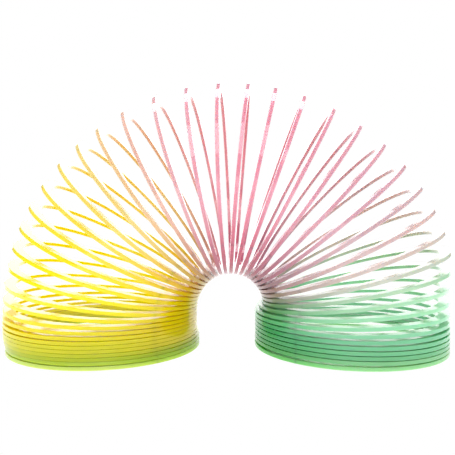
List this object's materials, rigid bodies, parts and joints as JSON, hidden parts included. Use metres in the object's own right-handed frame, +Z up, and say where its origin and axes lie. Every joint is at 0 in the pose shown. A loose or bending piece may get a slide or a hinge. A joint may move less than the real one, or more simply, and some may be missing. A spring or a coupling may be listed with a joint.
{
  "type": "spring coil toy",
  "caption": "Flat plastic ribbon wound into a springy coil and bent over into an arch that stands on its two closed ends.",
  "frame": {"origin": "middle of the arch's length and depth, on the surface that its two feet stand on", "axes": "+X from the left foot to the right foot, +Y from the front to the back, +Z up"},
  "size_m": [0.174, 0.075, 0.1032],
  "materials": {
    "lime": "gloss",
    "yellow_green": "gloss",
    "yellow": "gloss",
    "gold": "gloss",
    "orange": "gloss",
    "pink": "gloss",
    "rose_grey": "gloss",
    "sage": "gloss",
    "mint": "gloss",
    "teal": "gloss",
    "green": "gloss"
  },
  "bodies": {
    "turn_01": {"turn_01": "lime"},
    "turn_02": {"turn_02": "lime"},
    "turn_03": {"turn_03": "lime"},
    "turn_04": {"turn_04": "yellow_green"},
    "turn_05": {"turn_05": "yellow_green"},
    "turn_06": {"turn_06": "yellow_green"},
    "turn_07": {"turn_07": "yellow"},
    "turn_08": {"turn_08": "yellow"},
    "turn_09": {"turn_09": "yellow"},
    "turn_10": {"turn_10": "yellow"},
    "turn_11": {"turn_11": "yellow"},
    "turn_12": {"turn_12": "yellow"},
    "turn_13": {"turn_13": "yellow"},
    "turn_14": {"turn_14": "gold"},
    "turn_15": {"turn_15": "gold"},
    "turn_16": {"turn_16": "gold"},
    "turn_17": {"turn_17": "gold"},
    "turn_18": {"turn_18": "orange"},
    "turn_19": {"turn_19": "orange"},
    "turn_20": {"turn_20": "orange"},
    "turn_21": {"turn_21": "pink"},
    "turn_22": {"turn_22": "pink"},
    "turn_23": {"turn_23": "pink"},
    "turn_24": {"turn_24": "pink"},
    "turn_25": {"turn_25": "pink"},
    "turn_26": {"turn_26": "pink"},
    "turn_27": {"turn_27": "pink"},
    "turn_28": {"turn_28": "pink"},
    "turn_29": {"turn_29": "rose_grey"},
    "turn_30": {"turn_30": "rose_grey"},
    "turn_31": {"turn_31": "rose_grey"},
    "turn_32": {"turn_32": "rose_grey"},
    "turn_33": {"turn_33": "rose_grey"},
    "turn_34": {"turn_34": "sage"},
    "turn_35": {"turn_35": "sage"},
    "turn_36": {"turn_36": "sage"},
    "turn_37": {"turn_37": "mint"},
    "turn_38": {"turn_38": "mint"},
    "turn_39": {"turn_39": "mint"},
    "turn_40": {"turn_40": "teal"},
    "turn_41": {"turn_41": "teal"},
    "turn_42": {"turn_42": "teal"},
    "turn_43": {"turn_43": "teal"},
    "turn_44": {"turn_44": "green"},
    "turn_45": {"turn_45": "green"},
    "turn_46": {"turn_46": "green"}
  },
  "joints": [
    {"name": "left_foot_peel", "type": "hinge", "parent": "turn_01", "child": "turn_02", "pos_m": [-0.01291, 0, 0.00194], "axis": [0, 1, 0], "range_deg": [0, 1.5], "stiffness_Nm_per_rad": 2},
    {"name": "left_foot_peel_turn_03", "type": "hinge", "parent": "turn_02", "child": "turn_03", "pos_m": [-0.01307, 0, 0.00326], "axis": [0, 1, 0], "range_deg": [0, 1.5], "stiffness_Nm_per_rad": 2},
    {"name": "left_foot_peel_turn_04", "type": "hinge", "parent": "turn_03", "child": "turn_04", "pos_m": [-0.01341, 0, 0.00458], "axis": [0, 1, 0], "range_deg": [0, 1.5], "stiffness_Nm_per_rad": 2},
    {"name": "left_foot_peel_turn_05", "type": "hinge", "parent": "turn_04", "child": "turn_05", "pos_m": [-0.01376, 0, 0.0059], "axis": [0, 1, 0], "range_deg": [0, 1.5], "stiffness_Nm_per_rad": 2},
    {"name": "left_foot_peel_turn_06", "type": "hinge", "parent": "turn_05", "child": "turn_06", "pos_m": [-0.01391, 0, 0.00722], "axis": [0, 1, 0], "range_deg": [0, 1.5], "stiffness_Nm_per_rad": 2},
    {"name": "left_foot_peel_turn_07", "type": "hinge", "parent": "turn_06", "child": "turn_07", "pos_m": [-0.01391, 0, 0.00854], "axis": [0, 1, 0], "range_deg": [0, 1.5], "stiffness_Nm_per_rad": 2},
    {"name": "left_foot_peel_turn_08", "type": "hinge", "parent": "turn_07", "child": "turn_08", "pos_m": [-0.01391, 0, 0.00987], "axis": [0, 1, 0], "range_deg": [0, 1.5], "stiffness_Nm_per_rad": 2},
    {"name": "left_fan_turn_09", "type": "hinge", "parent": "turn_08", "child": "turn_09", "pos_m": [-0.01389, 0, 0.01121], "axis": [0, 1, 0], "range_deg": [-0.7527, 0.0762], "stiffness_Nm_per_rad": 2},
    {"name": "left_fan_turn_10", "type": "hinge", "parent": "turn_09", "child": "turn_10", "pos_m": [-0.01386, 0, 0.01256], "axis": [0, 1, 0], "range_deg": [-1.15, 0.12], "stiffness_Nm_per_rad": 2},
    {"name": "left_fan_turn_11", "type": "hinge", "parent": "turn_10", "child": "turn_11", "pos_m": [-0.0138, 0, 0.01393], "axis": [0, 1, 0], "range_deg": [-2.19, 0.22], "stiffness_Nm_per_rad": 2},
    {"name": "left_fan_turn_12", "type": "hinge", "parent": "turn_11", "child": "turn_12", "pos_m": [-0.01369, 0, 0.01533], "axis": [0, 1, 0], "range_deg": [-3.4, 0.34], "stiffness_Nm_per_rad": 2},
    {"name": "left_fan_turn_13", "type": "hinge", "parent": "turn_12", "child": "turn_13", "pos_m": [-0.01349, 0, 0.01676], "axis": [0, 1, 0], "range_deg": [-4.57, 0.46], "stiffness_Nm_per_rad": 2},
    {"name": "left_fan_turn_14", "type": "hinge", "parent": "turn_13", "child": "turn_14", "pos_m": [-0.01317, 0, 0.01821], "axis": [0, 1, 0], "range_deg": [-4.95, 0.5], "stiffness_Nm_per_rad": 2},
    {"name": "left_fan_turn_15", "type": "hinge", "parent": "turn_14", "child": "turn_15", "pos_m": [-0.01272, 0, 0.01966], "axis": [0, 1, 0], "range_deg": [-5.26, 0.53], "stiffness_Nm_per_rad": 2},
    {"name": "left_fan_turn_16", "type": "hinge", "parent": "turn_15", "child": "turn_16", "pos_m": [-0.01211, 0, 0.02114], "axis": [0, 1, 0], "range_deg": [-5.61, 0.56], "stiffness_Nm_per_rad": 2},
    {"name": "left_fan_turn_17", "type": "hinge", "parent": "turn_16", "child": "turn_17", "pos_m": [-0.0113, 0, 0.02265], "axis": [0, 1, 0], "range_deg": [-6.2, 0.62], "stiffness_Nm_per_rad": 2},
    {"name": "left_fan", "type": "hinge", "parent": "turn_17", "child": "turn_18", "pos_m": [-0.01027, 0, 0.02416], "axis": [0, 1, 0], "range_deg": [-6.7, 0.67], "stiffness_Nm_per_rad": 2},
    {"name": "crown_fan_turn_19", "type": "hinge", "parent": "turn_18", "child": "turn_19", "pos_m": [-0.00902, 0, 0.0256], "axis": [0, 1, 0], "range_deg": [-6.45, 0.32], "stiffness_Nm_per_rad": 2},
    {"name": "crown_fan_turn_20", "type": "hinge", "parent": "turn_19", "child": "turn_20", "pos_m": [-0.0076, 0, 0.0269], "axis": [0, 1, 0], "range_deg": [-6.38, 0.32], "stiffness_Nm_per_rad": 2},
    {"name": "crown_fan_turn_21", "type": "hinge", "parent": "turn_20", "child": "turn_21", "pos_m": [-0.00603, 0, 0.02805], "axis": [0, 1, 0], "range_deg": [-7.69, 0.39], "stiffness_Nm_per_rad": 2},
    {"name": "crown_fan_turn_22", "type": "hinge", "parent": "turn_21", "child": "turn_22", "pos_m": [-0.00428, 0, 0.029], "axis": [0, 1, 0], "range_deg": [-8.88, 0.45], "stiffness_Nm_per_rad": 2},
    {"name": "crown_fan", "type": "hinge", "parent": "turn_22", "child": "turn_23", "pos_m": [-0.00239, 0, 0.02969], "axis": [0, 1, 0], "range_deg": [-8.6, 0.43], "stiffness_Nm_per_rad": 2},
    {"name": "crown_fan_turn_24", "type": "hinge", "parent": "turn_23", "child": "turn_24", "pos_m": [-0.00043, 0, 0.03007], "axis": [0, 1, 0], "range_deg": [-8.15, 0.41], "stiffness_Nm_per_rad": 2},
    {"name": "crown_fan_turn_25", "type": "hinge", "parent": "turn_24", "child": "turn_25", "pos_m": [0.00155, 0, 0.03018], "axis": [0, 1, 0], "range_deg": [-7.4, 0.37], "stiffness_Nm_per_rad": 2},
    {"name": "crown_fan_turn_26", "type": "hinge", "parent": "turn_25", "child": "turn_26", "pos_m": [0.0035, 0, 0.03003], "axis": [0, 1, 0], "range_deg": [-6.84, 0.34], "stiffness_Nm_per_rad": 2},
    {"name": "crown_fan_turn_27", "type": "hinge", "parent": "turn_26", "child": "turn_27", "pos_m": [0.00541, 0, 0.02964], "axis": [0, 1, 0], "range_deg": [-7.5, 0.38], "stiffness_Nm_per_rad": 2},
    {"name": "crown_fan_turn_28", "type": "hinge", "parent": "turn_27", "child": "turn_28", "pos_m": [0.00728, 0, 0.02901], "axis": [0, 1, 0], "range_deg": [-8.12, 0.41], "stiffness_Nm_per_rad": 2},
    {"name": "crown_fan_turn_29", "type": "hinge", "parent": "turn_28", "child": "turn_29", "pos_m": [0.00906, 0, 0.02811], "axis": [0, 1, 0], "range_deg": [-7.89, 0.4], "stiffness_Nm_per_rad": 2},
    {"name": "crown_fan_turn_30", "type": "hinge", "parent": "turn_29", "child": "turn_30", "pos_m": [0.01068, 0, 0.02699], "axis": [0, 1, 0], "range_deg": [-7.58, 0.38], "stiffness_Nm_per_rad": 2},
    {"name": "crown_fan_turn_31", "type": "hinge", "parent": "turn_30", "child": "turn_31", "pos_m": [0.01212, 0, 0.02567], "axis": [0, 1, 0], "range_deg": [-7.28, 0.36], "stiffness_Nm_per_rad": 2},
    {"name": "crown_fan_turn_32", "type": "hinge", "parent": "turn_31", "child": "turn_32", "pos_m": [0.01336, 0, 0.02422], "axis": [0, 1, 0], "range_deg": [-6.94, 0.35], "stiffness_Nm_per_rad": 2},
    {"name": "right_fan", "type": "hinge", "parent": "turn_32", "child": "turn_33", "pos_m": [0.01438, 0, 0.02266], "axis": [0, 1, 0], "range_deg": [-6.44, 0.64], "stiffness_Nm_per_rad": 2},
    {"name": "right_fan_turn_34", "type": "hinge", "parent": "turn_33", "child": "turn_34", "pos_m": [0.01521, 0, 0.02104], "axis": [0, 1, 0], "range_deg": [-5.87, 0.59], "stiffness_Nm_per_rad": 2},
    {"name": "right_fan_turn_35", "type": "hinge", "parent": "turn_34", "child": "turn_35", "pos_m": [0.01585, 0, 0.01937], "axis": [0, 1, 0], "range_deg": [-4.98, 0.5], "stiffness_Nm_per_rad": 2},
    {"name": "right_fan_turn_36", "type": "hinge", "parent": "turn_35", "child": "turn_36", "pos_m": [0.0157, 0, 0.01769], "axis": [0, 1, 0], "range_deg": [-4.13, 0.41], "stiffness_Nm_per_rad": 2},
    {"name": "right_fan_turn_37", "type": "hinge", "parent": "turn_36", "child": "turn_37", "pos_m": [0.01468, 0, 0.016], "axis": [0, 1, 0], "range_deg": [-3.73, 0.37], "stiffness_Nm_per_rad": 2},
    {"name": "right_fan_turn_38", "type": "hinge", "parent": "turn_37", "child": "turn_38", "pos_m": [0.01354, 0, 0.0143], "axis": [0, 1, 0], "range_deg": [-3.28, 0.33], "stiffness_Nm_per_rad": 2},
    {"name": "right_fan_turn_39", "type": "hinge", "parent": "turn_38", "child": "turn_39", "pos_m": [0.01306, 0, 0.01261], "axis": [0, 1, 0], "range_deg": [-2.26, 0.23], "stiffness_Nm_per_rad": 2},
    {"name": "right_fan_turn_40", "type": "hinge", "parent": "turn_39", "child": "turn_40", "pos_m": [0.01313, 0, 0.01095], "axis": [0, 1, 0], "range_deg": [-1.19, 0.12], "stiffness_Nm_per_rad": 2},
    {"name": "right_fan_turn_41", "type": "hinge", "parent": "turn_40", "child": "turn_41", "pos_m": [0.01316, 0, 0.00933], "axis": [0, 1, 0], "range_deg": [-0.5856, 0.0595], "stiffness_Nm_per_rad": 2},
    {"name": "right_fan_turn_42", "type": "hinge", "parent": "turn_41", "child": "turn_42", "pos_m": [0.01317, 0, 0.00772], "axis": [0, 1, 0], "range_deg": [-0.346, 0.0355], "stiffness_Nm_per_rad": 2},
    {"name": "right_foot_peel", "type": "hinge", "parent": "turn_42", "child": "turn_43", "pos_m": [0.01318, 0, 0.00611], "axis": [0, 1, 0], "range_deg": [0, 1.5], "stiffness_Nm_per_rad": 2},
    {"name": "right_foot_peel_turn_44", "type": "hinge", "parent": "turn_43", "child": "turn_44", "pos_m": [0.01318, 0, 0.00451], "axis": [0, 1, 0], "range_deg": [0, 1.5], "stiffness_Nm_per_rad": 2},
    {"name": "right_foot_peel_turn_45", "type": "hinge", "parent": "turn_44", "child": "turn_45", "pos_m": [0.01318, 0, 0.00292], "axis": [0, 1, 0], "range_deg": [0, 1.5], "stiffness_Nm_per_rad": 2},
    {"name": "right_foot_peel_turn_46", "type": "hinge", "parent": "turn_45", "child": "turn_46", "pos_m": [0.01318, 0, 0.00061], "axis": [0, 1, 0], "range_deg": [0, 1.5], "stiffness_Nm_per_rad": 2}
  ],
  "couplings": [
    {"joint": "left_foot_peel_turn_03", "follows": "left_foot_peel", "ratio": 1},
    {"joint": "left_foot_peel_turn_04", "follows": "left_foot_peel", "ratio": 1},
    {"joint": "left_foot_peel_turn_05", "follows": "left_foot_peel", "ratio": 1},
    {"joint": "left_foot_peel_turn_06", "follows": "left_foot_peel", "ratio": 1},
    {"joint": "left_foot_peel_turn_07", "follows": "left_foot_peel", "ratio": 1},
    {"joint": "left_foot_peel_turn_08", "follows": "left_foot_peel", "ratio": 1},
    {"joint": "left_fan_turn_09", "follows": "left_fan", "ratio": 0.11226},
    {"joint": "left_fan_turn_10", "follows": "left_fan", "ratio": 0.17193},
    {"joint": "left_fan_turn_11", "follows": "left_fan", "ratio": 0.32706},
    {"joint": "left_fan_turn_12", "follows": "left_fan", "ratio": 0.50793},
    {"joint": "left_fan_turn_13", "follows": "left_fan", "ratio": 0.68268},
    {"joint": "left_fan_turn_14", "follows": "left_fan", "ratio": 0.73926},
    {"joint": "left_fan_turn_15", "follows": "left_fan", "ratio": 0.78529},
    {"joint": "left_fan_turn_16", "follows": "left_fan", "ratio": 0.8374},
    {"joint": "left_fan_turn_17", "follows": "left_fan", "ratio": 0.92618},
    {"joint": "crown_fan_turn_19", "follows": "crown_fan", "ratio": 0.75},
    {"joint": "crown_fan_turn_20", "follows": "crown_fan", "ratio": 0.74099},
    {"joint": "crown_fan_turn_21", "follows": "crown_fan", "ratio": 0.89371},
    {"joint": "crown_fan_turn_22", "follows": "crown_fan", "ratio": 1.0325},
    {"joint": "crown_fan_turn_24", "follows": "crown_fan", "ratio": 0.94672},
    {"joint": "crown_fan_turn_25", "follows": "crown_fan", "ratio": 0.86015},
    {"joint": "crown_fan_turn_26", "follows": "crown_fan", "ratio": 0.79426},
    {"joint": "crown_fan_turn_27", "follows": "crown_fan", "ratio": 0.87107},
    {"joint": "crown_fan_turn_28", "follows": "crown_fan", "ratio": 0.94405},
    {"joint": "crown_fan_turn_29", "follows": "crown_fan", "ratio": 0.91715},
    {"joint": "crown_fan_turn_30", "follows": "crown_fan", "ratio": 0.88133},
    {"joint": "crown_fan_turn_31", "follows": "crown_fan", "ratio": 0.84552},
    {"joint": "crown_fan_turn_32", "follows": "crown_fan", "ratio": 0.80654},
    {"joint": "right_fan_turn_34", "follows": "right_fan", "ratio": 0.91182},
    {"joint": "right_fan_turn_35", "follows": "right_fan", "ratio": 0.77281},
    {"joint": "right_fan_turn_36", "follows": "right_fan", "ratio": 0.64084},
    {"joint": "right_fan_turn_37", "follows": "right_fan", "ratio": 0.57878},
    {"joint": "right_fan_turn_38", "follows": "right_fan", "ratio": 0.50841},
    {"joint": "right_fan_turn_39", "follows": "right_fan", "ratio": 0.35036},
    {"joint": "right_fan_turn_40", "follows": "right_fan", "ratio": 0.18448},
    {"joint": "right_fan_turn_41", "follows": "right_fan", "ratio": 0.09077},
    {"joint": "right_fan_turn_42", "follows": "right_fan", "ratio": 0.05356},
    {"joint": "right_foot_peel_turn_44", "follows": "right_foot_peel", "ratio": 1},
    {"joint": "right_foot_peel_turn_45", "follows": "right_foot_peel", "ratio": 1},
    {"joint": "right_foot_peel_turn_46", "follows": "right_foot_peel", "ratio": 1}
  ]
}
